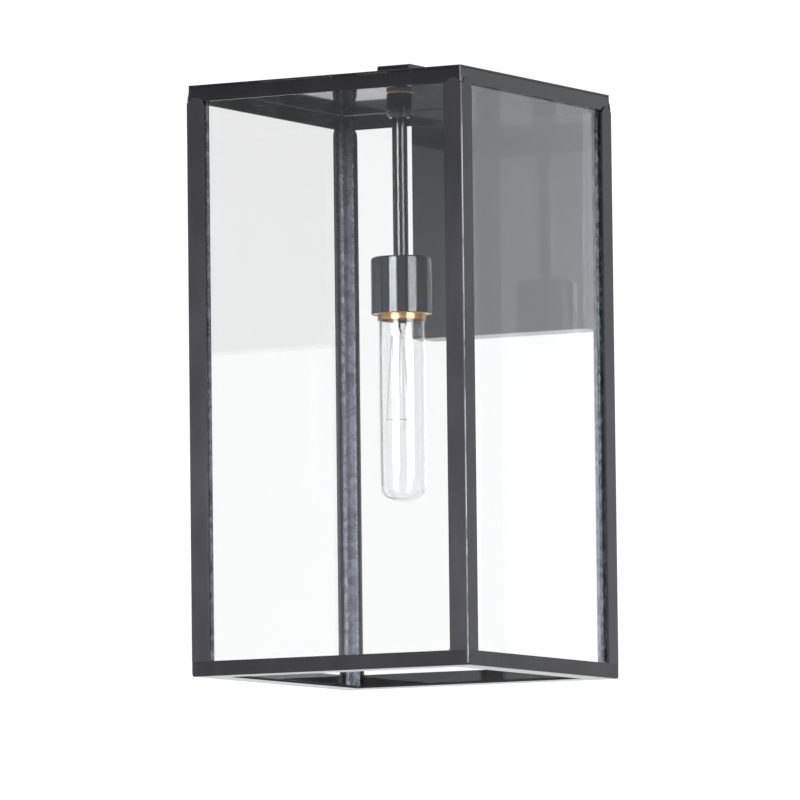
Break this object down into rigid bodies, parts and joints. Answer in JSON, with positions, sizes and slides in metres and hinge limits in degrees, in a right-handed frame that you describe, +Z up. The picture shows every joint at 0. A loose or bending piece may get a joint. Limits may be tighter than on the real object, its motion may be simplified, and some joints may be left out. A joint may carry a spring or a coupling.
{
  "type": "outdoor wall lantern",
  "caption": "Square box wall lantern: bronze steel cage with clear glass sides and an open bottom, hung by a flat roof arm from a wall pan, with a metal cup and a clear tubular bulb.",
  "frame": {"origin": "on the wall, at the middle of the wall pan's rear", "axes": "+X to the viewer's right across the front, +Y into the wall, +Z up"},
  "size_m": [0.216, 0.273, 0.4234],
  "materials": {
    "bronze_paint": "semi-gloss dark bronze",
    "stem_paint": "gloss dark bronze",
    "pane_glass": "clear polished",
    "bulb_glass": "clear polished",
    "silicone": "translucent satin",
    "zinc_plate": "zinc plated",
    "brass": "rolled",
    "phenolic": "moulded",
    "tungsten": "drawn wire",
    "wire_black": "wire insulation",
    "wire_white": "wire insulation",
    "rubber": "moulded",
    "ground_green": "green chromate"
  },
  "bodies": {
    "lantern": {"arm_screw_left": "zinc_plate", "arm_screw_right": "zinc_plate", "bottom_rail_front": "bronze_paint", "bottom_rail_left": "bronze_paint", "bottom_rail_rear": "bronze_paint", "bottom_rail_right": "bronze_paint", "centre_contact": "brass", "closing_ring": "brass", "collar_ring": "stem_paint", "collar_washer": "brass", "cup_nut": "zinc_plate", "glazing_bead_front_a": "silicone", "glazing_bead_front_b": "silicone", "glazing_bead_left_a": "silicone", "glazing_bead_left_b": "silicone", "glazing_bead_rear_a": "silicone", "glazing_bead_rear_b": "silicone", "glazing_bead_right_a": "silicone", "glazing_bead_right_b": "silicone", "ground_screw": "ground_green", "line_wire": "wire_black", "mounting_bracket": "zinc_plate", "neutral_wire": "wire_white", "pane_front": "pane_glass", "pane_left": "pane_glass", "pane_rear": "pane_glass", "pane_right": "pane_glass", "post_front_left": "bronze_paint", "post_front_right": "bronze_paint", "post_rear_left": "bronze_paint", "post_rear_right": "bronze_paint", "roof_arm": "bronze_paint", "roof_nut": "zinc_plate", "roof_panel": "bronze_paint", "screw_shell": "brass", "side_screw_left": "bronze_paint", "side_screw_right": "bronze_paint", "socket_body": "phenolic", "socket_cup": "stem_paint", "stem_collar": "bronze_paint", "stem_tube": "stem_paint", "top_rail_front": "bronze_paint", "top_rail_left": "bronze_paint", "top_rail_rear": "bronze_paint", "top_rail_right": "bronze_paint", "wall_pan": "bronze_paint", "wire_grommet": "rubber"},
    "lamp": {"bulb_cap": "brass", "bulb_glass": "bulb_glass", "bulb_insulator": "phenolic", "bulb_tip_contact": "brass", "filament": "tungsten", "filament_mount": "bulb_glass", "filament_support_lower": "tungsten", "filament_support_upper": "tungsten", "lead_wire_left": "tungsten", "lead_wire_right": "tungsten"}
  },
  "joints": [
    {"name": "lamp_release", "type": "slide", "parent": "lantern", "child": "lamp", "axis": [0, 0, -1], "range_m": [0, 0.3]}
  ]
}
